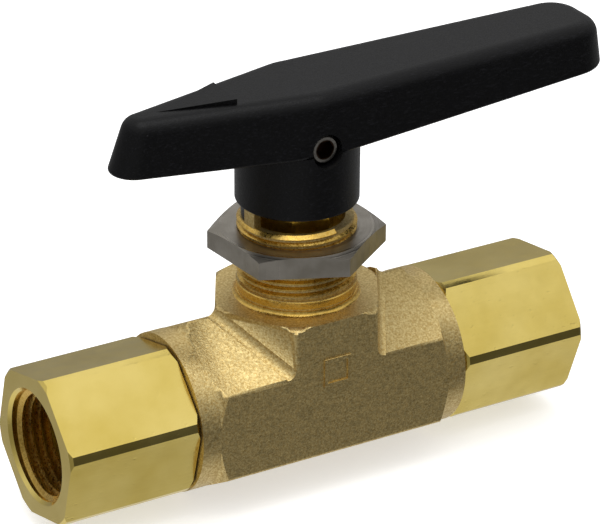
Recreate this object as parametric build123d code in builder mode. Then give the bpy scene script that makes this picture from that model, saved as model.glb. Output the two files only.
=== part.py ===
"""Quarter-turn ball valve for a panel, with a female pipe port at each end.

Millimetres. The flow runs along X, the stem along +Z, and the two axes cross at the origin, which is
the centre of the ball. The valve is shown open: the bar handle lies along the flow.
"""
import os
from math import acos, atan2, cos, degrees, hypot, radians, tan

from build123d import *

os.makedirs("parts", exist_ok=True)

INCH = 25.4
HEX_CORNER = 1 / cos(radians(30))  # corner radius of a hexagon over its half width

# Flow line
end_face_x = 54.5  # centre of the valve to the end face of a connector
joint_x = 28.0  # centre of the valve to the end face of the body
joint_gap = 0.3  # groove that shows between body and connector
flow_radius = 4.9

# Body forging
body_hex_width = 30.0
collar_radius = 15.1
collar_length = 3.7
ridge_run_out = 1.6  # length over which a collar's cone cuts the ridges of the hexagon
forging_edge_radius = 0.8
neck_hex_width = 30.0
neck_block_top = 18.4
neck_chamfer_angle = 30.0
neck_chamfer_radius = 15.7  # where the chamfer starts, just outside the flats
neck_radius = 10.5  # root of the panel thread
panel_thread_depth = 0.6
shank_height = 2.8
neck_length = 15.5  # block top to rim
mark_pad_size = 5.6
mark_pad_rim = 0.7
mark_pad_height = 0.3
mark_pad_z = 8.2

# Stops: two lugs stand on the neck, and one hangs from the hub between them
stop_height = 2.95
stop_angle = 18.0
travel_angle = 90.0
stop_lug_angle = 24.0
stop_lug_start = 150.0
stop_lug_side_gap = 0.2
stop_lug_length = 3.1
stop_play_angle = 0.5

# Connectors
connector_hex_width = 1.0625 * INCH
connector_corner_radius = 15.14
connector_end_chamfer = 0.55
connector_back_chamfer = 0.7
left_connector_turn = -14.6
right_connector_turn = -9.4
port_radius = 10.4  # root of the pipe thread
port_thread_length = 14.5
port_mouth_chamfer = 0.6
port_drill_radius = 9.1
port_depth = 17.5
drill_point_angle = 118.0

# Ball, seats and the joint between body and connector
ball_radius = 9.0
ball_clearance = 0.03
seat_back_gap = 1.3  # back of a seat past the surface of the ball
seat_bore_extra = 0.3
seat_side_clearance = 0.05
cavity_gap = 1.2  # wall of the cavity past the surface of the ball
cavity_half_length = 17.0
seal_height = 1.8
body_seal_width = 1.2
nose_clearance = 0.1
joint_thread_clearance = 0.05

# Stem
stem_radius = 4.0
stem_clearance = 0.05
stem_edge_chamfer = 0.4
flange_step = 1.2
flange_gap = 0.2  # flange above the ball
flange_height = 2.0
flange_side_clearance = 0.4
flange_seat_gap = 0.3
thrust_washer_height = 0.95
tang_inset = 0.2
tang_clearance = 0.1
tang_depth = 2.5
slot_floor_gap = 0.2
flat_depth = 0.8

# Stem packing
packing_land = 3.0  # plain bore between the flange pocket and the packing box
packing_width = 2.25
packing_side_clearance = 0.05
packing_base_height = 1.0
packing_ring_height = 1.8
vee_height = 0.7
follower_height = 4.8
packing_nut_step = 2.65
nut_thread_clearance = 0.05
packing_nut_gap = 0.9  # packing nut above the step of its thread
packing_nut_thread_length = 4.2
packing_nut_head_height = 5.6
packing_nut_hex_width = 0.5 * INCH
packing_nut_turn = -7.0

# Panel nut
panel_nut_width = 1.125 * INCH
panel_nut_height = 4.1
panel_nut_lift = 6.3  # nut above the shank, as it stands
panel_nut_turn = -24.6
panel_nut_chamfer_angle = 18.0
panel_nut_clearance = 0.07
panel_nut_bore_chamfer = 0.5

# Handle, with heights above the foot of the hub
hub_clearance = 0.5  # hub above the stops
hub_overhang = 0.95  # hub past the neck
hub_edge_radius = 0.4
handle_height = 23.4  # top of the bar above the stem
top_slope_angle = 1.1  # the top climbs from the pointer to the far end of the bar
foot_outline_height = 11.0
pointer_tip_underside = 12.65
pointer_root_underside = 12.25
arm_root_underside = 11.65
arm_end_underside = 16.0
bevel_radius = 3.0
arm_lower_edge_radius = 0.5
shoulder_radius = 8.0
top_outline = dict(
    nose_x=-31.3, nose_radius=3.4, shoulder_x=1.5, shoulder_y=10.2, end_x=62.2, end_y=7.6, corner=6.0
)
foot_outline = dict(
    nose_x=-33.9, nose_radius=4.9, shoulder_x=-7.0, shoulder_y=10.9, end_x=63.6, end_y=10.1, corner=7.5
)
arrow_tip_x = -28.9
arrow_base_x = -14.9
arrow_half_width = 4.35
arrow_height = 0.9
insert_hex_width = 14.0
insert_recess = 1.0
insert_top = 18.3
insert_roof = 1.0  # metal of the insert over the end of the stem
insert_clearance = 0.02
stem_flat_start = 0.3

# Set screw, radial, from the front of the hub
set_screw_height = 13.0
set_screw_radius = 2.7
set_screw_length = 6.6
set_screw_clearance = 0.05
set_screw_hole_radius = 3.1
set_screw_point_chamfer = 1.0
set_screw_face_chamfer = 0.3
socket_width = 0.125 * INCH
socket_depth = 3.0

# Sizes that follow from the ones above: the flow line
barrel_end_x = joint_x - collar_length
connector_start_x = joint_x + joint_gap
cavity_radius = ball_radius + cavity_gap
joint_thread_radius = cavity_radius + seal_height
connector_thread_radius = joint_thread_radius - joint_thread_clearance
nose_radius = cavity_radius - nose_clearance
seal_back_x = cavity_half_length + body_seal_width
seat_radius = cavity_radius - seat_side_clearance
seat_back_x = ball_radius + seat_back_gap

# The stem and what is packed round it, from the ball up
stem_bore_radius = stem_radius + stem_clearance
flange_radius = stem_radius + flange_step
flange_pocket_radius = flange_radius + flange_side_clearance
seat_front_x = flange_radius + flange_seat_gap
flange_z = ball_radius + flange_gap
tang_foot_z = ball_radius - tang_depth
thrust_washer_z = flange_z + flange_height + stem_clearance
flange_pocket_top = thrust_washer_z + thrust_washer_height
packing_floor_z = flange_pocket_top + packing_land
packing_box_radius = stem_radius + packing_width
packing_outer_radius = packing_box_radius - packing_side_clearance
packing_base_top = packing_floor_z + packing_base_height
follower_z = packing_base_top + 3 * packing_ring_height
packing_nut_z = follower_z + follower_height
packing_box_top = packing_nut_z - packing_nut_gap
nut_bore_radius = packing_box_radius + packing_nut_step

# The neck and its stops
shank_radius = neck_radius + panel_thread_depth
neck_rim_z = neck_block_top + neck_length
stop_top_z = neck_rim_z + stop_height
stop_lug_outer_radius = neck_radius - stop_lug_side_gap
stop_lug_inner_radius = nut_bore_radius + stop_lug_side_gap
first_stop_start = stop_lug_start + stop_lug_angle + stop_play_angle
second_stop_start = stop_lug_start - travel_angle - stop_play_angle - stop_angle
panel_nut_z = neck_block_top + shank_height + panel_nut_lift

# The handle, the insert and the set screw
hub_radius = neck_radius + hub_overhang
hub_bottom_z = stop_top_z + hub_clearance
handle_top_z = hub_bottom_z + handle_height
handle_foot_z = hub_bottom_z + foot_outline_height
pointer_tip_underside_z = hub_bottom_z + pointer_tip_underside
pointer_root_underside_z = hub_bottom_z + pointer_root_underside
arm_root_underside_z = hub_bottom_z + arm_root_underside
arm_end_underside_z = hub_bottom_z + arm_end_underside
insert_bottom_z = hub_bottom_z + insert_recess
insert_top_z = hub_bottom_z + insert_top
stem_top_z = insert_top_z - insert_roof
flat_start_z = hub_bottom_z + stem_flat_start
arrow_tip_top_z = handle_top_z + arrow_tip_x * tan(radians(top_slope_angle))
arrow_base_top_z = handle_top_z + arrow_base_x * tan(radians(top_slope_angle)) + arrow_height
set_screw_z = hub_bottom_z + set_screw_height
screw_tip_y = -(stem_radius - flat_depth) - set_screw_clearance


def ring_sector(inner, outer, start, sweep):
    """A flat sector of a ring about the origin, between two radii and two angles."""
    with BuildSketch() as sector:
        with BuildLine():
            far = CenterArc((0, 0), outer, start, sweep)
            near = CenterArc((0, 0), inner, start, sweep)
            Line(far @ 0, near @ 0)
            Line(far @ 1, near @ 1)
        make_face()
    return sector.sketch


def handle_outline(nose_x, nose_radius, shoulder_x, shoulder_y, end_x, end_y, corner):
    """Plan of the bar: round pointer nose, straight taper to the shoulders, blunt rounded end."""
    reach = hypot(shoulder_x - nose_x, shoulder_y)
    tangent_angle = degrees(atan2(shoulder_y, shoulder_x - nose_x) + acos(nose_radius / reach))
    with BuildSketch() as outline:
        with BuildLine():
            nose = CenterArc((nose_x, 0), nose_radius, tangent_angle, 360 - 2 * tangent_angle)
            Polyline(
                nose @ 0,
                (shoulder_x, shoulder_y),
                (end_x, end_y),
                (end_x, -end_y),
                (shoulder_x, -shoulder_y),
                nose @ 1,
            )
        make_face()
        ends = outline.vertices().group_by(Axis.X)[-1]
        fillet(ends, corner)
        shoulders = outline.vertices().filter_by(lambda v: abs(abs(v.Y) - shoulder_y) < 0.01)
        fillet(shoulders, shoulder_radius)
    return outline.sketch


def vee_ring(bottom_z, height, vee_below, vee_above):
    """Packing ring round the stem. A vee face is raised by vee_height half way across the ring."""
    middle = (stem_bore_radius + packing_outer_radius) / 2
    top_z = bottom_z + height
    with BuildPart() as ring:
        with BuildSketch(Plane.XZ):
            with BuildLine():
                Polyline(
                    (stem_bore_radius, bottom_z),
                    (middle, bottom_z + vee_below),
                    (packing_outer_radius, bottom_z),
                    (packing_outer_radius, top_z),
                    (middle, top_z + vee_above),
                    (stem_bore_radius, top_z),
                    close=True,
                )
            make_face()
        revolve(axis=Axis.Z)
    return ring.part


def finish(shape, name):
    """Labels one piece and writes its STEP file."""
    shape.label = name
    export_step(shape, f"parts/{name}.step")


# ---------------------------------------------------------------- body
# Neck block: a hexagon standing on the barrel, its top corners taken off by a shallow cone.
neck_corner_radius = neck_hex_width / 2 * HEX_CORNER
neck_corner_drop = (neck_corner_radius - neck_chamfer_radius) * tan(radians(neck_chamfer_angle))
neck_corner_z = neck_block_top - neck_corner_drop
with BuildPart() as neck_block:
    with BuildSketch(Plane.XY):
        RegularPolygon(neck_hex_width / 2, 6, major_radius=False)
    extrude(amount=neck_block_top)
    with BuildSketch(Plane.XZ):
        with BuildLine():
            Polyline(
                (0, 0),
                (neck_corner_radius, 0),
                (neck_corner_radius, neck_corner_z),
                (neck_chamfer_radius, neck_block_top),
                (0, neck_block_top),
                close=True,
            )
        make_face()
    revolve(axis=Axis.Z, mode=Mode.INTERSECT)

# Barrel: a hexagon along the flow, its ridges run out into the round collars.
with BuildPart() as barrel:
    with BuildSketch(Plane.YZ.offset(-barrel_end_x)):
        RegularPolygon(body_hex_width / 2, 6, major_radius=False, rotation=30)
    extrude(amount=2 * barrel_end_x)
    with BuildSketch(Plane.XZ):
        with BuildLine():
            Polyline(
                (-barrel_end_x, 0),
                (-barrel_end_x, collar_radius),
                (-barrel_end_x + ridge_run_out, body_hex_width / 2 * HEX_CORNER),
                (barrel_end_x - ridge_run_out, body_hex_width / 2 * HEX_CORNER),
                (barrel_end_x, collar_radius),
                (barrel_end_x, 0),
                close=True,
            )
        make_face()
    revolve(axis=Axis.X, mode=Mode.INTERSECT)
    ridges = barrel.edges().filter_by(Axis.X)
    fillet(ridges, forging_edge_radius)

with BuildPart() as body:
    add(barrel.part)
    add(neck_block.part)
    # Round collars at the ends of the barrel.
    with BuildSketch(Plane.YZ.offset(-joint_x)):
        Circle(collar_radius)
    extrude(amount=collar_length)
    with BuildSketch(Plane.YZ.offset(barrel_end_x)):
        Circle(collar_radius)
    extrude(amount=collar_length)
    # Neck: plain shank, then the threaded length up to the rim.
    with BuildSketch(Plane.XY.offset(neck_block_top)):
        Circle(shank_radius)
    extrude(amount=shank_height)
    with BuildSketch(Plane.XY.offset(neck_block_top)):
        Circle(neck_radius)
    extrude(amount=neck_rim_z - neck_block_top)
    # Stops that stand on the rim.
    with BuildSketch(Plane.XY.offset(packing_box_top)):
        for start in (first_stop_start, second_stop_start):
            add(ring_sector(nut_bore_radius, neck_radius, start, stop_angle))
    extrude(amount=stop_top_z - packing_box_top)
    # Raised square frame on the front face, with nothing in it.
    with BuildSketch(Plane.XZ.offset(body_hex_width / 2)):
        with Locations((0, mark_pad_z)):
            Rectangle(mark_pad_size, mark_pad_size)
            Rectangle(
                mark_pad_size - 2 * mark_pad_rim, mark_pad_size - 2 * mark_pad_rim, mode=Mode.SUBTRACT
            )
    extrude(amount=mark_pad_height)
    # Ball cavity, with a wider threaded stretch at each end for the connectors.
    with BuildSketch(Plane.YZ):
        Circle(cavity_radius)
    extrude(amount=joint_x, both=True, mode=Mode.SUBTRACT)
    with BuildSketch(Plane.YZ.offset(cavity_half_length)):
        Circle(joint_thread_radius)
    extrude(amount=joint_x - cavity_half_length, mode=Mode.SUBTRACT)
    with BuildSketch(Plane.YZ.offset(-joint_x)):
        Circle(joint_thread_radius)
    extrude(amount=joint_x - cavity_half_length, mode=Mode.SUBTRACT)
    # Stem bore: flange pocket, plain bore, packing box and nut thread, one above the other.
    with BuildSketch(Plane.XY):
        Circle(flange_pocket_radius)
    extrude(amount=flange_pocket_top, mode=Mode.SUBTRACT)
    with BuildSketch(Plane.XY):
        Circle(stem_bore_radius)
    extrude(amount=stop_top_z, mode=Mode.SUBTRACT)
    with BuildSketch(Plane.XY.offset(packing_floor_z)):
        Circle(packing_box_radius)
    extrude(amount=stop_top_z - packing_floor_z, mode=Mode.SUBTRACT)
    with BuildSketch(Plane.XY.offset(packing_box_top)):
        Circle(nut_bore_radius)
    extrude(amount=stop_top_z - packing_box_top, mode=Mode.SUBTRACT)
finish(body.part, "body")

# ---------------------------------------------------------------- connectors
drill_point_length = (port_drill_radius - flow_radius) / tan(radians(drill_point_angle / 2))


def connector(side, turn):
    """End connector. side is +1 for the right end and -1 for the left; turn is the hexagon's angle."""
    hex_plane = Plane.YZ.offset(side * connector_start_x)
    hex_length = end_face_x - connector_start_x
    with BuildPart() as piece:
        with BuildSketch(hex_plane):
            RegularPolygon(connector_hex_width / 2, 6, major_radius=False, rotation=turn)
        extrude(amount=side * hex_length)
        # The hexagon's corners are turned round, and chamfered at both ends.
        with BuildSketch(Plane.XZ):
            with BuildLine():
                Polyline(
                    (side * connector_start_x, 0),
                    (side * connector_start_x, connector_corner_radius - connector_back_chamfer),
                    (side * (connector_start_x + connector_back_chamfer), connector_corner_radius),
                    (side * (end_face_x - connector_end_chamfer), connector_corner_radius),
                    (side * end_face_x, connector_corner_radius - connector_end_chamfer),
                    (side * end_face_x, 0),
                    close=True,
                )
            make_face()
        revolve(axis=Axis.X, mode=Mode.INTERSECT)
        # Threaded spigot and the nose that holds the seat.
        with BuildSketch(Plane.XZ):
            with BuildLine():
                Polyline(
                    (side * seat_back_x, 0),
                    (side * seat_back_x, nose_radius),
                    (side * seal_back_x, nose_radius),
                    (side * seal_back_x, connector_thread_radius),
                    (side * (connector_start_x + 1), connector_thread_radius),
                    (side * (connector_start_x + 1), 0),
                    close=True,
                )
            make_face()
        revolve(axis=Axis.X)
        # Port: mouth chamfer, thread, drilled foot with its cone, then the flow bore.
        thread_end_x = end_face_x - port_thread_length
        drill_end_x = end_face_x - port_depth
        with BuildSketch(Plane.XZ):
            with BuildLine():
                Polyline(
                    (side * end_face_x, 0),
                    (side * end_face_x, port_radius + port_mouth_chamfer),
                    (side * (end_face_x - port_mouth_chamfer), port_radius),
                    (side * thread_end_x, port_radius),
                    (side * thread_end_x, port_drill_radius),
                    (side * drill_end_x, port_drill_radius),
                    (side * (drill_end_x - drill_point_length), flow_radius),
                    (side * seat_back_x, flow_radius),
                    (side * seat_back_x, 0),
                    close=True,
                )
            make_face()
        revolve(axis=Axis.X, mode=Mode.SUBTRACT)
    return piece.part


finish(connector(-1, left_connector_turn), "left_connector")
finish(connector(1, right_connector_turn), "right_connector")

# ---------------------------------------------------------------- seals and seats
for side, side_name in ((-1, "left"), (1, "right")):
    with BuildPart() as body_seal:
        with BuildSketch(Plane.YZ.offset(side * cavity_half_length)):
            Circle(joint_thread_radius - seat_side_clearance)
            Circle(nose_radius + seat_side_clearance, mode=Mode.SUBTRACT)
        extrude(amount=side * body_seal_width)
    finish(body_seal.part, f"{side_name}_body_seal")

    with BuildPart() as seat:
        with BuildSketch(Plane.YZ.offset(side * seat_front_x)):
            Circle(seat_radius)
            Circle(flow_radius + seat_bore_extra, mode=Mode.SUBTRACT)
        extrude(amount=side * (seat_back_x - seat_front_x))
        Sphere(ball_radius + ball_clearance, rotation=(0, 90, 0), mode=Mode.SUBTRACT)
    finish(seat.part, f"{side_name}_seat")

# ---------------------------------------------------------------- ball
slot_floor_z = tang_foot_z - slot_floor_gap
with BuildPart() as ball:
    Sphere(ball_radius, rotation=(0, 90, 0))
    Cylinder(flow_radius, 2 * ball_radius, rotation=(0, 90, 0), mode=Mode.SUBTRACT)
    with BuildSketch(Plane.XY.offset(slot_floor_z)):
        Rectangle(stem_radius + 2 * tang_clearance, 2 * ball_radius)
    extrude(amount=ball_radius, mode=Mode.SUBTRACT)
finish(ball.part, "ball")

# ---------------------------------------------------------------- stem
with BuildPart() as stem:
    with BuildSketch(Plane.XY.offset(tang_foot_z)):
        Rectangle(stem_radius, 2 * (stem_radius - tang_inset))
    extrude(amount=flange_z - tang_foot_z)
    with BuildSketch(Plane.XY.offset(flange_z)):
        Circle(flange_radius)
    extrude(amount=flange_height)
    with BuildSketch(Plane.XY.offset(flange_z)):
        Circle(stem_radius)
    extrude(amount=stem_top_z - flange_z)
    chamfer(stem.faces().sort_by(Axis.Z)[-1].edges(), stem_edge_chamfer)
    # Flat on the front, where the set screw bears.
    with BuildSketch(Plane.XY.offset(flat_start_z)):
        with Locations((0, -stem_radius)):
            Rectangle(2 * stem_radius, 2 * flat_depth)
    extrude(amount=stem_top_z - flat_start_z, mode=Mode.SUBTRACT)
finish(stem.part, "stem")

with BuildPart() as stem_thrust_washer:
    with BuildSketch(Plane.XY.offset(thrust_washer_z)):
        Circle(flange_pocket_radius - packing_side_clearance)
        Circle(stem_bore_radius, mode=Mode.SUBTRACT)
    extrude(amount=thrust_washer_height)
finish(stem_thrust_washer.part, "stem_thrust_washer")

# ---------------------------------------------------------------- stem packing
finish(vee_ring(packing_floor_z, packing_base_height, 0, vee_height), "packing_base_ring")
for place, ring_name in enumerate(("lower", "middle", "upper")):
    ring_z = packing_base_top + place * packing_ring_height
    finish(vee_ring(ring_z, packing_ring_height, vee_height, vee_height), f"{ring_name}_packing_ring")
finish(vee_ring(follower_z, follower_height, vee_height, 0), "gland_follower")

with BuildPart() as packing_nut:
    with BuildSketch(Plane.XY.offset(packing_nut_z)):
        Circle(nut_bore_radius - nut_thread_clearance)
    extrude(amount=packing_nut_thread_length)
    with BuildSketch(Plane.XY.offset(packing_nut_z + packing_nut_thread_length)):
        RegularPolygon(packing_nut_hex_width / 2, 6, major_radius=False, rotation=packing_nut_turn)
    extrude(amount=packing_nut_head_height)
    chamfer(packing_nut.faces().sort_by(Axis.Z)[-1].edges(), stem_edge_chamfer)
    with BuildSketch(Plane.XY.offset(packing_nut_z)):
        Circle(stem_bore_radius)
    extrude(amount=packing_nut_thread_length + packing_nut_head_height, mode=Mode.SUBTRACT)
finish(packing_nut.part, "packing_nut")

# ---------------------------------------------------------------- panel nut
nut_half_width = panel_nut_width / 2
nut_corner = nut_half_width * HEX_CORNER
nut_corner_drop = (nut_corner - nut_half_width) * tan(radians(panel_nut_chamfer_angle))
panel_nut_top = panel_nut_z + panel_nut_height
with BuildPart() as panel_nut:
    with BuildSketch(Plane.XY.offset(panel_nut_z)):
        RegularPolygon(nut_half_width, 6, major_radius=False, rotation=panel_nut_turn)
    extrude(amount=panel_nut_height)
    with BuildSketch(Plane.XZ):
        with BuildLine():
            Polyline(
                (0, panel_nut_z),
                (nut_corner, panel_nut_z),
                (nut_corner, panel_nut_top - nut_corner_drop),
                (nut_half_width, panel_nut_top),
                (0, panel_nut_top),
                close=True,
            )
        make_face()
    revolve(axis=Axis.Z, mode=Mode.INTERSECT)
    with BuildSketch(Plane.XY.offset(panel_nut_z)):
        Circle(neck_radius + panel_nut_clearance)
    extrude(amount=panel_nut_height, mode=Mode.SUBTRACT)
    bore_rims = panel_nut.edges().filter_by(GeomType.CIRCLE).filter_by(
        lambda e: abs(e.radius - neck_radius - panel_nut_clearance) < 0.01
    )
    chamfer(bore_rims, panel_nut_bore_chamfer)
finish(panel_nut.part, "panel_nut")

# ---------------------------------------------------------------- handle
# Side view of the bar: its underside rises gently from the hub to both ends.
bar_left_x = foot_outline["nose_x"] - foot_outline["nose_radius"]
bar_right_x = foot_outline["end_x"]
bar_ceiling_z = handle_top_z + bar_right_x * tan(radians(top_slope_angle)) + bevel_radius
with BuildPart() as side_view:
    with BuildSketch(Plane.XZ):
        with BuildLine():
            Polyline(
                (bar_left_x, pointer_tip_underside_z),
                (0, pointer_root_underside_z),
                (0, arm_root_underside_z),
                (bar_right_x, arm_end_underside_z),
                (bar_right_x, bar_ceiling_z),
                (bar_left_x, bar_ceiling_z),
                close=True,
            )
        make_face()
    extrude(amount=2 * hub_radius, both=True)

with BuildPart() as handle:
    with BuildSketch(Plane.XY.offset(handle_foot_z)):
        add(handle_outline(**foot_outline))
    with BuildSketch(Plane.XY.offset(handle_top_z).rotated((0, -top_slope_angle, 0))):
        add(handle_outline(**top_outline))
    loft()
    add(side_view.part, mode=Mode.INTERSECT)
    top_rim = handle.faces().sort_by(Axis.Z)[-1].edges()
    fillet(top_rim, bevel_radius)
    # Every edge of the underside is rounded but the two across its middle.
    underside_edges = handle.faces().filter_by(lambda f: f.normal_at().Z < -0.9).edges()
    fillet(underside_edges.filter_by(lambda e: abs(e.center().X) > 1), arm_lower_edge_radius)
    # Hub under the middle of the bar.
    with BuildSketch(Plane.XY.offset(hub_bottom_z)):
        Circle(hub_radius)
    extrude(amount=pointer_root_underside_z - hub_bottom_z)
    hub_rim = handle.edges().filter_by(GeomType.CIRCLE).sort_by(Axis.Z)[0]
    fillet(hub_rim, hub_edge_radius)
    # Raised arrowhead on the pointer arm: its top climbs from the tip to the base.
    with BuildSketch(Plane.XZ):
        with BuildLine():
            Polyline(
                (arrow_tip_x, handle_top_z - bevel_radius),
                (arrow_tip_x, arrow_tip_top_z),
                (arrow_base_x, arrow_base_top_z),
                (arrow_base_x, handle_top_z - bevel_radius),
                close=True,
            )
        make_face()
    arrow_bar = extrude(amount=arrow_half_width, both=True, mode=Mode.PRIVATE)
    with BuildSketch(Plane.XY.offset(handle_top_z - bevel_radius)):
        with BuildLine():
            Polyline(
                (arrow_tip_x, 0),
                (arrow_base_x, -arrow_half_width),
                (arrow_base_x, arrow_half_width),
                close=True,
            )
        make_face()
    arrow_plan = extrude(amount=bevel_radius + arrow_height, mode=Mode.PRIVATE)
    add(arrow_bar & arrow_plan)
    # Pocket for the insert, and the hole that the set screw goes in through.
    with BuildSketch(Plane.XY.offset(hub_bottom_z)):
        RegularPolygon(insert_hex_width / 2 + insert_clearance, 6, major_radius=False)
    extrude(amount=insert_top_z + insert_clearance - hub_bottom_z, mode=Mode.SUBTRACT)
    with BuildSketch(Plane.XZ):
        with Locations((0, set_screw_z)):
            Circle(set_screw_hole_radius)
    extrude(amount=2 * hub_radius, mode=Mode.SUBTRACT)
    # Stop lug that hangs from the hub between the stops.
    with BuildSketch(Plane.XY.offset(hub_bottom_z - stop_lug_length)):
        add(ring_sector(stop_lug_inner_radius, stop_lug_outer_radius, stop_lug_start, stop_lug_angle))
    extrude(amount=stop_lug_length + hub_edge_radius)
finish(handle.part, "handle")

with BuildPart() as handle_insert:
    with BuildSketch(Plane.XY.offset(insert_bottom_z)):
        RegularPolygon(insert_hex_width / 2, 6, major_radius=False)
    extrude(amount=insert_top_z - insert_bottom_z)
    # Bore with a flat that matches the stem.
    with BuildSketch(Plane.XY.offset(insert_bottom_z)):
        Circle(stem_radius + insert_clearance)
        with Locations((0, -stem_radius)):
            Rectangle(3 * stem_radius, 2 * (flat_depth - insert_clearance), mode=Mode.SUBTRACT)
    extrude(amount=stem_top_z + insert_clearance - insert_bottom_z, mode=Mode.SUBTRACT)
    with BuildSketch(Plane.XZ):
        with Locations((0, set_screw_z)):
            Circle(set_screw_radius + set_screw_clearance)
    extrude(amount=insert_hex_width, mode=Mode.SUBTRACT)
finish(handle_insert.part, "handle_insert")

with BuildPart() as set_screw:
    with BuildSketch(Plane.XZ.offset(-screw_tip_y)):
        with Locations((0, set_screw_z)):
            Circle(set_screw_radius)
    extrude(amount=set_screw_length)
    chamfer(set_screw.edges().sort_by(Axis.Y)[-1], set_screw_point_chamfer)
    chamfer(set_screw.edges().sort_by(Axis.Y)[0], set_screw_face_chamfer)
    with BuildSketch(Plane.XZ.offset(-screw_tip_y + set_screw_length)):
        with Locations((0, set_screw_z)):
            RegularPolygon(socket_width / 2, 6, major_radius=False)
    extrude(amount=-socket_depth, mode=Mode.SUBTRACT)
finish(set_screw.part, "set_screw")
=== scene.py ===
# %% [markdown]
# # A quarter-turn ball valve for a panel
# The valve is a brass forging with a machined connector at each end, a threaded neck that passes through
# a panel, a thin steel nut on the neck, and a black nylon handle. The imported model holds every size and
# every joint, so this script only adds what the eye reads: threads, soft forged edges and finishes.

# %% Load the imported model
from math import cos, pi, radians, sin

import bmesh
import bpy
from mathutils import Matrix, Vector


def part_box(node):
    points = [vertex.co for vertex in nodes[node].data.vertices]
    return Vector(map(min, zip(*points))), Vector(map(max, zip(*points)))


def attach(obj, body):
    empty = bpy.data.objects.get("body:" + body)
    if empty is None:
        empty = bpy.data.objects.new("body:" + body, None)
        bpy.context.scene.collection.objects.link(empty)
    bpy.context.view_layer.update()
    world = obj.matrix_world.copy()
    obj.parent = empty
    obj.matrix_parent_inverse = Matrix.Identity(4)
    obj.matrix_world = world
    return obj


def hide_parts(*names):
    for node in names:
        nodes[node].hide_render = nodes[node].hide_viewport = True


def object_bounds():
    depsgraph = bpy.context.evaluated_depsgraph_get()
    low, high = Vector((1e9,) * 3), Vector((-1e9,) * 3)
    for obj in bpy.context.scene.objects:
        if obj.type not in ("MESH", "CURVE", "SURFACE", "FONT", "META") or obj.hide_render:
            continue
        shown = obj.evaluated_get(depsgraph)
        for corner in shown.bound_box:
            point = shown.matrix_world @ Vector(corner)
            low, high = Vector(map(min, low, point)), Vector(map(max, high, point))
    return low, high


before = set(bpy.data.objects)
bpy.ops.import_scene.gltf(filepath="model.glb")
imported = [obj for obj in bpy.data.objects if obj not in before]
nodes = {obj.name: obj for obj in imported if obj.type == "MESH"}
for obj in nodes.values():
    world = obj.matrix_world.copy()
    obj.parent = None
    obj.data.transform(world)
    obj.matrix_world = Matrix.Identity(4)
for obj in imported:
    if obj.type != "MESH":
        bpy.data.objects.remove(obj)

MM = 0.001
cad_low, cad_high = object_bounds()
print("CAD box in mm:", [round(v / MM, 1) for v in (*cad_low, *cad_high)])

# %% [markdown]
# ## Camera
# A product picture is taken from far away with a long lens, so that parallel edges stay nearly parallel.
# The camera looks down a little on the left end and the front of the valve.

# %% Place the camera
CAMERA_AZIMUTH = radians(-30.41)
CAMERA_ELEVATION = radians(26.14)
CAMERA_ROLL = radians(0.334)
CAMERA_DISTANCE = 0.6454
CAMERA_TARGET = Vector((0, 0, 0.0239))
CAMERA_LENS = 210.4
CAMERA_SHIFT = (0.0057, -0.0004)
CAMERA_NEAREST = 0.01

camera_back = Vector((
    sin(CAMERA_AZIMUTH) * cos(CAMERA_ELEVATION),
    -cos(CAMERA_AZIMUTH) * cos(CAMERA_ELEVATION),
    sin(CAMERA_ELEVATION),
))
camera_data = bpy.data.cameras.new("camera")
camera_data.lens = CAMERA_LENS
camera_data.shift_x, camera_data.shift_y = CAMERA_SHIFT
camera_data.clip_start = CAMERA_NEAREST
camera = bpy.data.objects.new("camera", camera_data)
bpy.context.scene.collection.objects.link(camera)
camera.location = CAMERA_TARGET + camera_back * CAMERA_DISTANCE
turn = (-camera_back).to_track_quat("-Z", "Y").to_matrix() @ Matrix.Rotation(CAMERA_ROLL, 3, "Z")
camera.rotation_euler = turn.to_euler()
bpy.context.scene.camera = camera
print("camera at", [round(v / MM, 1) for v in camera.location], "mm")

# %% [markdown]
# ## Shader helpers
# Colours are written as the sRGB hex values that a paint chart gives, and turned to linear light once.
# A node tree could be wired by a helper for each kind of node, but then a reader has to learn the helpers.
# One helper adds any node with its settings and links, so every call shows the node's own names.

# %% Colour and node helpers
def linear(hex_value):
    """Linear RGBA of an sRGB hex colour such as "#c8a24a"."""
    channels = [int(hex_value[i:i + 2], 16) / 255 for i in (1, 3, 5)]
    return [c / 12.92 if c <= 0.04045 else ((c + 0.055) / 1.055) ** 2.4 for c in channels] + [1]


def add_node(tree, kind, settings=None, links=None):
    """Adds one shader node.

    A setting is an attribute or an input's value. A link joins another node's output to an input.
    """
    node = tree.nodes.new(kind)
    for name, value in (settings or {}).items():
        if isinstance(name, int) or name in node.inputs:
            node.inputs[name].default_value = value
        else:
            setattr(node, name, value)
    for name, output in (links or {}).items():
        tree.links.new(output, node.inputs[name])
    return node


def new_material(name, settings):
    """A material whose one Principled shader has the settings."""
    material = bpy.data.materials.new(name)
    material.use_nodes = True
    shader = material.node_tree.nodes["Principled BSDF"]
    for socket, value in settings.items():
        shader.inputs[socket].default_value = value
    return material


print("brass #c8a24a in linear light:", [round(c, 3) for c in linear("#c8a24a")])

# %% [markdown]
# ## Patterns and finishes
# A worked surface is a few patterns on top of each other: grains that a blast or a mould leaves, and rings
# that a lathe leaves. Each reads the place on the surface in the shared frame, so it needs no unwrapping.
# A finish then uses the patterns three times, as bumps, as a change of colour and as a change of gloss.

# %% Surface patterns
def grain(tree, place, size, detail=2.0, stretch=(1, 1, 1)):
    """Noise from 0 to 1 with grains of a size in metres. A stretch under 1 draws them out on that axis."""
    scale = [share / size for share in stretch]
    scaled = add_node(tree, "ShaderNodeMapping", {"Scale": scale}, {"Vector": place}).outputs[0]
    noise = add_node(tree, "ShaderNodeTexNoise", {"Scale": 1.0, "Detail": detail}, {"Vector": scaled})
    return noise.outputs[0]


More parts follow.
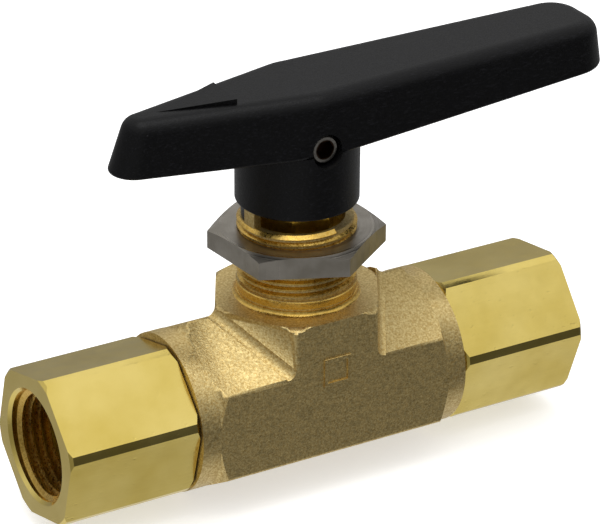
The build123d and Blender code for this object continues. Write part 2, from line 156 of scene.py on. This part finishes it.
def from_axis(tree, place, across):
    """Distance from an axis through the place's zero. across is 0 along the axis and 1 the other ways."""
    flat = add_node(tree, "ShaderNodeVectorMath", {"operation": "MULTIPLY", 1: across}, {0: place}).outputs[0]
    return add_node(tree, "ShaderNodeVectorMath", {"operation": "LENGTH"}, {0: flat}).outputs["Value"]


def lathe_rings(tree, place, across, size):
    """Fine rings about an axis, as a lathe tool leaves: noise of the distance from the axis."""
    settings = {"noise_dimensions": "1D", "Scale": 1 / size, "Detail": 2}
    return add_node(tree, "ShaderNodeTexNoise", settings, {"W": from_axis(tree, place, across)}).outputs[0]


print("a 0.5 mm grain is a noise scale of", round(1 / (0.5 * MM)))


# %% Put a finish together
def dress(material, layers, colour, roughness):
    """Joins a finish's patterns to its shader, and returns the colour.

    layers are (height, depth in metres) from the lowest up. colour is a pattern, the two values it
    turns between and two hex colours. roughness is a pattern, its two values and two roughnesses.
    """
    tree = material.node_tree
    shader = tree.nodes["Principled BSDF"]
    normal = None
    for height, depth in layers:
        links = {"Height": height} | ({} if normal is None else {"Normal": normal})
        normal = add_node(tree, "ShaderNodeBump", {"Distance": depth, "Strength": 1.0}, links).outputs[0]
    pattern, low, high, first, second = colour
    share = add_node(tree, "ShaderNodeMapRange", {"From Min": low, "From Max": high}, {"Value": pattern})
    ends = {"data_type": "RGBA", 6: linear(first), 7: linear(second)}
    mixed = add_node(tree, "ShaderNodeMix", ends, {0: share.outputs[0]}).outputs[2]
    pattern, low, high, least, most = roughness
    limits = {"From Min": low, "From Max": high, "To Min": least, "To Max": most}
    rough = add_node(tree, "ShaderNodeMapRange", limits, {"Value": pattern}).outputs[0]
    tree.links.new(normal, shader.inputs["Normal"])
    tree.links.new(mixed, shader.inputs["Base Color"])
    tree.links.new(rough, shader.inputs["Roughness"])
    print(material.name, "has", len(tree.nodes), "shader nodes and", len(layers), "bump layers")
    return mixed


# %% [markdown]
# ## Studio
# Polished brass shows the room more than its own colour. Lamps alone would give it a few hard glints, so
# the room here is a light tent: bright overhead and underneath, and grey round the horizon. It is darkest
# low on the front right, and a little dimmed low on the left.

# %% Light tent
DARK_SIDE = Vector((0.46, -0.84, -0.28)).normalized()
GREY_SIDE = Vector((-0.9, 0.05, -0.42)).normalized()
FULLY_FACING = 0.97
# Brightness by height, from straight down at 0 to straight up at 1.
TENT_LEVELS = [
    (0.0, 0.85), (0.18, 0.66), (0.28, 0.36), (0.4, 0.3), (0.5, 0.3), (0.62, 0.42), (0.74, 0.6), (0.82, 0.9),
    (1.0, 1.08),
]
world = bpy.data.worlds.new("light_tent")
bpy.context.scene.world = world
world.use_nodes = True
tent = world.node_tree
direction = add_node(tent, "ShaderNodeTexCoord").outputs["Generated"]
height = add_node(tent, "ShaderNodeSeparateXYZ", links={0: direction}).outputs["Z"]
height = add_node(tent, "ShaderNodeMapRange", {"From Min": -1, "From Max": 1}, {"Value": height}).outputs[0]
ramp = add_node(tent, "ShaderNodeValToRGB", links={"Fac": height})
stops = ramp.color_ramp.elements
while len(stops) < len(TENT_LEVELS):
    stops.new(0.5)
for stop, (share, level) in zip(stops, TENT_LEVELS):
    stop.position = share
    stop.color = (level, level, level, 1)
print("the tent has", len(stops), "brightness levels")


# %% Dim two sides of the tent
def dimmed_side(side, start, level):
    """1 all round the tent, falling smoothly to a level on one side. start is where the fall begins."""
    dot = add_node(tent, "ShaderNodeVectorMath", {"operation": "DOT_PRODUCT", 1: side}, {0: direction})
    limits = {"From Min": start, "From Max": FULLY_FACING, "To Min": 1, "To Max": level}
    limits["interpolation_type"] = "SMOOTHSTEP"
    return add_node(tent, "ShaderNodeMapRange", limits, {"Value": dot.outputs["Value"]}).outputs[0]


sides = {0: dimmed_side(DARK_SIDE, 0.6, 0.27), 1: dimmed_side(GREY_SIDE, 0.8, 0.75)}
shade = add_node(tent, "ShaderNodeMath", {"operation": "MULTIPLY"}, sides).outputs[0]
shaded = {0: ramp.outputs["Color"], "Scale": shade}
tent_light = add_node(tent, "ShaderNodeVectorMath", {"operation": "SCALE"}, shaded).outputs["Vector"]
background = tent.nodes["Background"]
tent.links.new(tent_light, background.inputs["Color"])
background.inputs["Strength"].default_value = 1.0
bpy.context.scene.view_settings.view_transform = "Standard"
print("the tent has", len(tent.nodes), "nodes")

# %% [markdown]
# ## Lamp and floor
# One large soft box overhead gives the top faces their lift. The floor is white paper that glows a little,
# so that it stays white and keeps only a faint shadow. Metal doesn't mirror it: the tent takes its place.

# %% Overhead soft box
LAMP_PLACE = Vector((-0.05, -0.1, 0.8))
LAMP_TARGET = Vector((0, 0, 0.02))
lamp_data = bpy.data.lights.new("overhead_box", "AREA")
lamp_data.shape = "SQUARE"
lamp_data.size = 0.5
lamp_data.energy = 1.5
lamp = bpy.data.objects.new("overhead_box", lamp_data)
bpy.context.scene.collection.objects.link(lamp)
lamp.location = LAMP_PLACE
lamp.rotation_euler = (LAMP_TARGET - LAMP_PLACE).to_track_quat("-Z", "Y").to_euler()
print("soft box of", lamp_data.size, "m at", lamp_data.energy, "W")

# %% Paper floor
FLOOR_GAP = 0.02 * MM
FLOOR_HALF_WIDTH = 3
floor_mesh = bpy.data.meshes.new("floor")
bm = bmesh.new()
bmesh.ops.create_grid(bm, x_segments=1, y_segments=1, size=FLOOR_HALF_WIDTH)
bmesh.ops.translate(bm, verts=bm.verts, vec=(0, 0, cad_low.z - FLOOR_GAP))
bm.to_mesh(floor_mesh)
bm.free()
floor = bpy.data.objects.new("floor", floor_mesh)
bpy.context.scene.collection.objects.link(floor)
floor.visible_glossy = False
# Matt white paper, which scatters light evenly and has no highlight.
white_sheet = new_material("white_paper_floor", {
    "Base Color": linear("#fafafa"), "Roughness": 0.9,
    "Emission Color": linear("#ffffff"), "Emission Strength": 0.5,
})
floor_mesh.materials.append(white_sheet)
print("floor at", round((cad_low.z - FLOOR_GAP) / MM, 2), "mm")

# %% [markdown]
# ## Drawn and turned brass
# The connectors start as hexagon bar pulled through a die, which leaves faint lines along the flats. Their
# ends and bores are then turned, which leaves rings. One material does both: it looks at which way a face
# points, and uses rings where it points along the bar.

# %% Drawn and turned brass
# Free-cutting brass, bright from the tool: a yellow mirror broken up by fine lines and a few small dents.
# Real draw lines are about 0.05 mm apart, too fine to show, so they are drawn 2.6 to the millimetre and
# the turned rings 3.2 to the millimetre.
drawn_brass = new_material("free_cutting_brass_drawn", {"Metallic": 1})
tree = drawn_brass.node_tree
surface = add_node(tree, "ShaderNodeTexCoord").outputs
place = surface["Object"]
facing = add_node(tree, "ShaderNodeSeparateXYZ", links={0: surface["Normal"]}).outputs["X"]
facing = add_node(tree, "ShaderNodeMath", {"operation": "ABSOLUTE"}, {0: facing}).outputs[0]
on_end = add_node(tree, "ShaderNodeMapRange", {"From Min": 0.9, "From Max": 0.95}, {"Value": facing})
draw_lines = grain(tree, place, MM / 2.6, 3, (0.012, 1, 1))
turn_lines = lathe_rings(tree, place, (0, 1, 1), MM / 3.2)
either = {0: on_end.outputs[0], 2: draw_lines, 3: turn_lines}
lines = add_node(tree, "ShaderNodeMix", links=either).outputs[0]
dent_noise = grain(tree, place, MM / 0.9)
dents = add_node(tree, "ShaderNodeMapRange", {"From Min": 0.22, "From Max": 0.34}, {"Value": dent_noise})
dress(
    drawn_brass,
    layers=[
        (grain(tree, place, MM / 0.14, 1), 0.06 * MM), (lines, 0.006 * MM), (dents.outputs[0], 0.02 * MM),
    ],
    colour=(grain(tree, place, MM / 0.09, 5), 0.35, 0.7, "#e6cf79", "#d8bf62"),
    roughness=(grain(tree, place, MM / 0.4, 3), 0.3, 0.7, 0.16, 0.25),
)

# %% [markdown]
# ## Blasted forging brass
# The body is pressed hot in a die and then blasted with grit to clean off the scale. Noise alone looks like
# cloth, so small round pits are laid over a slow unevenness, and a fine grain over both.

# %% Blasted forging brass
# Forging brass, grit blasted: it scatters light in small grains and shows no clear reflection. Grit
# leaves pits of about 0.1 mm. They are drawn 2.4 to the millimetre, because finer ones wouldn't show.
blasted_brass = new_material("forging_brass_sand_blasted", {"Metallic": 1})
tree = blasted_brass.node_tree
place = add_node(tree, "ShaderNodeTexCoord").outputs["Object"]
grit = grain(tree, place, MM / 2.6, 3)
pits = add_node(tree, "ShaderNodeTexVoronoi", {"Scale": 2.4 / MM}, {"Vector": place}).outputs["Distance"]
orange_peel = grain(tree, place, 2 * MM)
dress(
    blasted_brass,
    layers=[(orange_peel, 0.03 * MM), (pits, 0.02 * MM), (grit, 0.04 * MM)],
    colour=(grit, 0.32, 0.68, "#c2a464", "#e9d498"),
    roughness=(grain(tree, place, MM / 1.5), 0.3, 0.7, 0.4, 0.58),
)

# %% [markdown]
# ## Cut thread brass
# The threads are cut after the blasting, so they are brighter and yellower than the skin beside them. They
# could share the drawn brass, but its lines run the wrong way for a thread, so they get small nicks only.

# %% Thread brass
# Forging brass, cut: it keeps the tool's gloss, dulled by nicks drawn 1.8 to the millimetre.
thread_brass = new_material("forging_brass_thread_cut", {"Metallic": 1})
tree = thread_brass.node_tree
place = add_node(tree, "ShaderNodeTexCoord").outputs["Object"]
nicks = grain(tree, place, MM / 1.8, 3)
dress(
    thread_brass, layers=[(nicks, 0.03 * MM)],
    colour=(nicks, 0.35, 0.65, "#c9a24a", "#e2be68"), roughness=(nicks, 0.3, 0.7, 0.2, 0.36),
)

# %% [markdown]
# ## Stainless steel
# The panel nut is a slice of hexagon bar. Its top is faced on a lathe and its flats keep the lines of the
# bar, so the material chooses between rings and lines by whether a face points up.

# %% Stainless steel
# Stainless steel, milled and faced: a grey, slightly warm metal with a soft streaked gloss. The tool marks
# are about 0.1 mm apart and are drawn 2.4 to 3 to the millimetre, because finer ones wouldn't show.
stainless = new_material("stainless_steel_milled", {"Metallic": 1})
tree = stainless.node_tree
surface = add_node(tree, "ShaderNodeTexCoord").outputs
place = surface["Object"]
upward = add_node(tree, "ShaderNodeSeparateXYZ", links={0: surface["Normal"]}).outputs["Z"]
on_top = add_node(tree, "ShaderNodeMapRange", {"From Min": 0.2, "From Max": 0.3}, {"Value": upward})
rings = lathe_rings(tree, place, (1, 1, 0), MM / 2.4)
mill_lines = grain(tree, place, MM / 3, 3, (1, 1, 0.03))
lines = add_node(tree, "ShaderNodeMix", links={0: on_top.outputs[0], 2: mill_lines, 3: rings}).outputs[0]
dress(
    stainless, layers=[(lines, 0.012 * MM), (grain(tree, place, 0.2 * MM), 0.008 * MM)],
    colour=(grain(tree, place, 4 * MM, 4), 0.35, 0.65, "#958f84", "#a9a399"),
    roughness=(lines, 0.3, 0.7, 0.27, 0.42),
)

# %% [markdown]
# ## Plated screw steel
# The set screw's hexagon socket gets painted shade: its inside is painted brown-black, and the plated ring
# round it keeps the plating's bright colour and a higher gloss. A second material inside the socket would
# need the mesh cut up, so one material changes with the distance from the screw's axis.

# %% Screw steel
# Alloy steel, zinc plated: a bright ring round a socket that is painted brown-black as painted shade.
# The painted shade inside the socket fades out between these two radii.
SOCKET_EDGE = 1.82 * MM
BRIGHT_EDGE = 1.96 * MM
screw_steel = new_material("alloy_steel_zinc_plated", {"Metallic": 1})
tree = screw_steel.node_tree
place = add_node(tree, "ShaderNodeTexCoord").outputs["Object"]
screw_low, screw_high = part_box("set_screw")
centring = {"operation": "SUBTRACT", 1: (screw_low + screw_high) / 2}
centred = add_node(tree, "ShaderNodeVectorMath", centring, {0: place}).outputs[0]
radius = from_axis(tree, centred, (1, 0, 1))
edges = {"From Min": SOCKET_EDGE, "From Max": BRIGHT_EDGE}
# 0 inside the socket, where shade is painted, and 1 clear of it.
clear_of_socket_shade = add_node(tree, "ShaderNodeMapRange", edges, {"Value": radius}).outputs[0]
plating = grain(tree, place, 0.4 * MM)
bright = dress(
    screw_steel, layers=[(plating, 0.01 * MM)],
    colour=(plating, 0.3, 0.7, "#b3ada4", "#e2ddd4"), roughness=(clear_of_socket_shade, 0, 1, 0.34, 0.2),
)
# Painted shade: the brown-black inside the hexagon socket stands in for the shade in that recess.
socket_shade_paint = {"data_type": "RGBA", 6: linear("#4c382a")}
screw_colour = add_node(tree, "ShaderNodeMix", socket_shade_paint, {0: clear_of_socket_shade, 7: bright}).outputs[2]
tree.links.new(screw_colour, tree.nodes["Principled BSDF"].inputs["Base Color"])
print("the screw is dark inside a radius of", SOCKET_EDGE / MM, "mm")

# %% [markdown]
# ## Chrome plate and zinc
# Two metals sit inside the valve. The ball is plated and polished so that it slides on its seats, and the
# bush in the handle is die cast. They show only when the valve is opened up, but each has its own finish.

# %% Chrome plate
# Chrome plate, polished: a cold mirror with the faintest lines round it, 2.2 to the millimetre.
ball_plate = new_material("chrome_plate_polished", {"Metallic": 1})
tree = ball_plate.node_tree
place = add_node(tree, "ShaderNodeTexCoord").outputs["Object"]
polish = grain(tree, place, MM / 2.2, 2, (0.1, 1, 1))
dress(
    ball_plate, layers=[(polish, 0.002 * MM)],
    colour=(polish, 0, 1, "#d3d5d6", "#e2e3e3"), roughness=(polish, 0.3, 0.7, 0.06, 0.12),
)

# %% Die-cast zinc
# Zinc, die cast: dull grey with cloudy flow marks about 3 mm across.
zinc = new_material("zinc_die_cast", {"Metallic": 1})
tree = zinc.node_tree
place = add_node(tree, "ShaderNodeTexCoord").outputs["Object"]
flow = grain(tree, place, MM / 0.3, 4)
dress(
    zinc, layers=[(grain(tree, place, MM / 3), 0.02 * MM)],
    colour=(flow, 0.35, 0.65, "#8e8e8c", "#a3a4a2"), roughness=(flow, 0.3, 0.7, 0.38, 0.5),
)

# %% [markdown]
# ## Moulded nylon
# The handle comes from a spark-eroded mould, which gives an even fine grain, over a slow waviness where the
# plastic shrank. Short glass fibres show as faint paler flecks drawn out along the bar.

# %% Nylon
# Glass-filled nylon, moulded: near black, satin, with weak highlights. Fibres are about 0.01 mm thick and
# are drawn 5.2 to the millimetre, because real ones wouldn't show.
nylon = new_material("nylon_glass_filled_moulded", {"Specular IOR Level": 0.15})
tree = nylon.node_tree
place = add_node(tree, "ShaderNodeTexCoord").outputs["Object"]
erosion = grain(tree, place, MM / 3.2)
fibres = grain(tree, place, MM / 5.2, 1, (0.15, 1, 1))
dress(
    nylon, layers=[(grain(tree, place, MM / 0.12, 3), 0.04 * MM), (erosion, 0.03 * MM)],
    colour=(fibres, 0.55, 0.8, "#0a0a0b", "#18181b"), roughness=(erosion, 0.3, 0.7, 0.27, 0.42),
)

# %% [markdown]
# ## PTFE
# The seats, seals and packing are cut from PTFE, which is white and waxy. It could be made see-through at
# its edges, but these rings are thick and hidden, so a cloudy white is enough.

# %% PTFE
# PTFE, skived: a soft white with a dull wax gloss and clouds about 4 mm across.
ptfe = new_material("ptfe_skived", {"IOR": 1.38})
tree = ptfe.node_tree
place = add_node(tree, "ShaderNodeTexCoord").outputs["Object"]
cloud = grain(tree, place, MM / 0.26, 4)
dress(
    ptfe, layers=[(grain(tree, place, 0.4 * MM), 0.015 * MM)],
    colour=(cloud, 0.3, 0.7, "#e6e4df", "#f4f3ef"), roughness=(cloud, 0.3, 0.7, 0.32, 0.45),
)

# %% [markdown]
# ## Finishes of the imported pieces
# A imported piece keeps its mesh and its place, and only its material is changed. A table of finishes shows
# at a glance what each piece is made of, and the print shows that none is left out.

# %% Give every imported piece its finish
FINISHES = {
    drawn_brass: ["left_connector", "right_connector", "gland_follower", "packing_base_ring", "packing_nut"],
    blasted_brass: ["body"],
    stainless: ["panel_nut", "stem"],
    nylon: ["handle"],
    screw_steel: ["set_screw"],
    ball_plate: ["ball"],
    zinc: ["handle_insert"],
    ptfe: [
        "left_seat", "right_seat", "left_body_seal", "right_body_seal", "stem_thrust_washer",
        "lower_packing_ring", "middle_packing_ring", "upper_packing_ring",
    ],
}
for material, names in FINISHES.items():
    for name in names:
        nodes[name].material_slots[0].material = material
print("finished", sum(len(names) for names in FINISHES.values()), "of", len(nodes), "packed pieces")

# %% [markdown]
# ## From a bmesh to a piece
# Every new piece ends the same way: its faces are turned outwards, it becomes an object at the origin, it
# is shaded smooth up to an angle, and it rides on a body of the valve. The print shows whether it is closed.

# %% Piece helper
def add_piece(name, bm, material, body="valve_body", smooth_angle=35):
    """Makes an object from a bmesh, shades it smooth up to an angle, and lets it ride on a body."""
    bmesh.ops.recalc_face_normals(bm, faces=bm.faces)
    open_edges = sum(not edge.is_manifold for edge in bm.edges)
    mesh = bpy.data.meshes.new(name)
    bm.to_mesh(mesh)
    bm.free()
    mesh.materials.append(material)
    mesh.polygons.foreach_set("use_smooth", [True] * len(mesh.polygons))
    mesh.set_sharp_from_angle(angle=radians(smooth_angle))
    piece = bpy.data.objects.new(name, mesh)
    bpy.context.scene.collection.objects.link(piece)
    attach(piece, body)
    print(name, "has", len(mesh.polygons), "faces and", open_edges, "open edges")
    return piece


# %% [markdown]
# ## Soft edges of the forging
# A forging has no knife edges: metal flows round the corners of the die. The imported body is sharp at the
# upright corners of its neck block, so a bevel rounds a copy of it there. The copy's loose triangles are
# merged first, because a bevel needs whole faces. Weighted normals keep the large faces flat.

# %% Round the upright corners of the neck block
CORNER_SETBACK = 1.0 * MM
MERGE_DISTANCE = 0.001 * MM
FLAT_WITHIN = radians(0.5)
SHORTEST_CORNER = 4 * MM
CORNER_LOWEST = 9 * MM
CORNER_HIGHEST = 17 * MM
UPRIGHT_WITHIN = 0.05 * MM


def middle(edge):
    """The middle of an edge."""
    return (edge.verts[0].co + edge.verts[1].co) / 2


bm = bmesh.new()
bm.from_mesh(nodes["body"].data)
bmesh.ops.remove_doubles(bm, verts=bm.verts, dist=MERGE_DISTANCE)
bmesh.ops.dissolve_limit(bm, angle_limit=FLAT_WITHIN, verts=bm.verts, edges=bm.edges)
uprights = [
    edge for edge in bm.edges
    if edge.calc_length() > SHORTEST_CORNER and radians(50) < edge.calc_face_angle_signed() < radians(70)
    and CORNER_LOWEST < middle(edge).z < CORNER_HIGHEST
    and (edge.verts[0].co - edge.verts[1].co).xy.length < UPRIGHT_WITHIN
]
bmesh.ops.bevel(
    bm, geom=uprights, offset=CORNER_SETBACK, offset_type="OFFSET", segments=5, profile=0.5,
    affect="EDGES", clamp_overlap=False, material=-1,
)
print(len(uprights), "upright corners rounded")
soft_forging = add_piece("soft_forging", bm, blasted_brass, smooth_angle=28)
flat_faces = soft_forging.modifiers.new("flat_faces_stay_flat", "WEIGHTED_NORMAL")
flat_faces.keep_sharp = True
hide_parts("body")

# %% [markdown]
# ## Throats of the forging
# Where the neck block rises from the barrel, the die leaves a round throat. A bevel of those edges is
# squeezed to nothing where they meet the ridge, so each of the four throats is filled by a piece of its
# own. Its section is swept along the throat, run out past both ends, and cut flush with planes.

# %% Sizes of a throat and a helper that cuts
THROAT_RADIUS = 2.0 * MM
HALF_WIDTH = 15 * MM
ARC_STEPS = 8
BLOCK_TOP = 18.38 * MM
HEX_HALF_ANGLE = radians(30)
ROOT_SINK = 0.4 * MM
EDGE_SINK = 0.1 * MM
OVERRUN = 4 * MM
FLUSH_GAP = 0.01 * MM
ridge = HALF_WIDTH / cos(HEX_HALF_ANGLE)


def clip(bm, point, outward):
    """Cuts a closed mesh with a plane, throws the outward side away and closes the cut."""
    whole = list(bm.verts) + list(bm.edges) + list(bm.faces)
    cut = bmesh.ops.bisect_plane(bm, geom=whole, plane_co=point, plane_no=outward, clear_outer=True)
    rim = [item for item in cut["geom_cut"] if isinstance(item, bmesh.types.BMEdge)]
    bmesh.ops.holes_fill(bm, edges=rim, sides=0)


print("the barrel's ridge is", round(ridge / MM, 2), "mm above its axis")


# %% Section of a throat
def throat_section(low, along, upright, slope):
    """Section at the low end: a root sunk in the metal, and an arc tangent to the block and the barrel."""
    up_face = upright.cross(along).normalized()
    up_face *= 1 if up_face.dot(slope) > 0 else -1
    down_slope = slope.cross(along).normalized()
    down_slope *= 1 if down_slope.dot(upright) > 0 else -1
    setback = THROAT_RADIUS * (upright - slope).length / (up_face - down_slope).length
    centre = low + up_face * setback + upright * THROAT_RADIUS
    section = [low - (upright + slope) * ROOT_SINK, low + up_face * setback - upright * EDGE_SINK]
    for step in range(ARC_STEPS + 1):
        share = step / ARC_STEPS
        section.append(centre - (upright * (1 - share) + slope * share).normalized() * THROAT_RADIUS)
    section.append(low + down_slope * setback - slope * EDGE_SINK)
    return section


print("a throat's arc has", ARC_STEPS, "steps and a radius of", THROAT_RADIUS / MM, "mm")

# %% Fill the four throats
for across, side in (("left", -1), ("right", 1)):
    for depth, face in (("front", -1), ("back", 1)):
        low = Vector((side * ridge / 2, face * HALF_WIDTH, ridge / 2))
        high = Vector((side * ridge, 0, ridge))
        along = (high - low).normalized()
        upright = Vector((side * cos(HEX_HALF_ANGLE), face * sin(HEX_HALF_ANGLE), 0))
        slope = Vector((0, face * sin(HEX_HALF_ANGLE), cos(HEX_HALF_ANGLE)))
        section = throat_section(low, along, upright, slope)
        bm = bmesh.new()
        start = [bm.verts.new(point - along * OVERRUN) for point in section]
        face_at_start = bm.faces.new(start)
        swept = bmesh.ops.extrude_face_region(bm, geom=[face_at_start], use_keep_orig=True)
        ends = [item for item in swept["geom"] if isinstance(item, bmesh.types.BMVert)]
        bmesh.ops.translate(bm, verts=ends, vec=(high - low) + along * 2 * OVERRUN)
        clip(bm, (0, face * (HALF_WIDTH - FLUSH_GAP), 0), (0, face, 0))
        clip(bm, (0, face * -FLUSH_GAP, 0), (0, -face, 0))
        clip(bm, (0, 0, BLOCK_TOP), (0, 0, 1))
        fillet = add_piece(f"throat_fillet_{across}_{depth}", bm, blasted_brass, smooth_angle=28)

# %% [markdown]
# ## Threads
# A stack of rings would look like a thread from afar, but its turns never climb. Each thread here is one
# ridge spun along a helix. Its foot is just inside the metal and its crest is at the thread's full height,
# and it sinks away at an end, as a real thread runs out.

# %% Thread helpers
THREAD_STEPS = 64


def ridge_section(foot, root, crest):
    """A ridge's section as (place along the axis, radius). Each argument is a radius and a half width."""
    rising = [(-half, radius) for radius, half in (foot, root, crest)]
    return rising + [(-along, radius) for along, radius in reversed(rising)]


def helical_ridge(profile, axis, pitch, turns, edge_limit):
    """Sweeps a profile round an axis, then holds every point's radius to what edge_limit allows there."""
    bm = bmesh.new()
    ring = [bm.verts.new(point) for point in profile]
    edges = [bm.edges.new((a, b)) for a, b in zip(ring, ring[1:] + ring[:1])]
    bmesh.ops.spin(
        bm, geom=ring + edges, cent=(0, 0, 0), axis=axis, dvec=Vector(axis) * (pitch / THREAD_STEPS),
        angle=2 * pi * turns, steps=round(THREAD_STEPS * turns), use_merge=False, use_duplicate=False,
    )
    bmesh.ops.holes_fill(bm, edges=bm.edges, sides=0)
    axis = Vector(axis)
    for vert in bm.verts:
        along = vert.co.dot(axis)
        out = vert.co - axis * along
        vert.co = axis * along + out.normalized() * edge_limit(along, out.length)
    return bm


print("a thread has", THREAD_STEPS, "steps to a turn")

# %% [markdown]
# ## Panel thread
# The neck's outside thread takes the panel nut. Its crests are almost sharp, so the section is a narrow
# flat on two steep flanks.

# %% Panel thread on the neck
NECK_ROOT = 10.5 * MM
NECK_CREST = 11.1 * MM
NECK_FOOT = 10.35 * MM
NECK_PITCH = 1.27 * MM
THREAD_FOOT = 21.35 * MM
RIM = 33.9 * MM
RUN_OUT_SINK = 0.1 * MM
TURNS_SPARED = 0.1


def neck_limit(z, radius):
    """The crest runs out at the foot of the thread and at the rim's chamfer."""
    return min(radius, NECK_ROOT - RUN_OUT_SINK + (z - THREAD_FOOT), NECK_ROOT + RUN_OUT_SINK + (RIM - z))


neck_section = ridge_section((NECK_FOOT, 0.55 * MM), (NECK_ROOT, 0.46 * MM), (NECK_CREST, 0.09 * MM))
profile = [(radius, 0, THREAD_FOOT + along) for along, radius in neck_section]
neck_turns = (RIM - THREAD_FOOT) / NECK_PITCH - TURNS_SPARED
bm = helical_ridge(profile, (0, 0, 1), NECK_PITCH, neck_turns, neck_limit)
add_piece("neck_thread", bm, thread_brass)
print("the neck has", round(neck_turns, 1), "turns of thread")

# %% [markdown]
# ## Pipe threads
# Each port has a tapered inside thread, so its ridge points inwards and gets deeper into the bore's middle
# as it goes in. It starts a little inside the mouth, where the chamfer is.

# %% Pipe threads in the two ports
PORT_ROOT = 10.4 * MM
PORT_FOOT = 10.55 * MM
PORT_TIP = 9.0 * MM
PORT_CREST = 9.5 * MM
PORT_PITCH = 1.814 * MM
PORT_DEPTH = 14.5 * MM
PORT_TAPER = 1 / 32
MOUTH_RADIUS = 11.1 * MM
MOUTH_GAP = 0.9 * MM
port_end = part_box("right_connector")[1].x


def port_limit(x, radius):
    """A pipe thread narrows with depth, and its crest runs out at the mouth."""
    depth = port_end - abs(x)
    crest = PORT_CREST - depth * PORT_TAPER
    return max(radius, crest, MOUTH_RADIUS - depth)


port_section = ridge_section((PORT_FOOT, 0.78 * MM), (PORT_ROOT, 0.66 * MM), (PORT_TIP, 0.1 * MM))
port_turns = (PORT_DEPTH - MOUTH_GAP) / PORT_PITCH
for side, start in (("left", MOUTH_GAP - port_end), ("right", port_end - PORT_DEPTH)):
    profile = [(start + along, 0, radius) for along, radius in port_section]
    bm = helical_ridge(profile, (1, 0, 0), PORT_PITCH, port_turns, port_limit)
    add_piece(side + "_port_thread", bm, thread_brass)
print("each port has", round(port_turns, 1), "turns of thread")

# %% [markdown]
# ## Foot of the shank
# Below the thread the neck has a short smooth shank. A blend joins its foot to the neck block, and a band
# stands out a little above it. Both are one outline of (radius, height), spun once round the neck.

# %% Foot of the shank
foot_blend = [(11.05, 18.3), (12.1, 18.3), (11.75, 18.46), (11.5, 18.66), (11.33, 18.95), (11.28, 19.25)]
raised_band = [(11.05, 19.33), (11.05, 19.62), (11.24, 19.7), (11.24, 20.9), (11.05, 21.1)]
inner_wall = [(10.9, 21.1), (10.9, 18.3)]
SPIN_STEPS = 128
SEAM_MERGE = 0.0001 * MM
outline = foot_blend + raised_band + inner_wall
bm = bmesh.new()
ring = [bm.verts.new((radius * MM, 0, height * MM)) for radius, height in outline]
edges = [bm.edges.new((a, b)) for a, b in zip(ring, ring[1:] + ring[:1])]
bmesh.ops.spin(
    bm, geom=ring + edges, cent=(0, 0, 0), axis=(0, 0, 1), angle=2 * pi, steps=SPIN_STEPS, use_merge=True,
)
bmesh.ops.remove_doubles(bm, verts=bm.verts, dist=SEAM_MERGE)
add_piece("shank_band", bm, thread_brass)
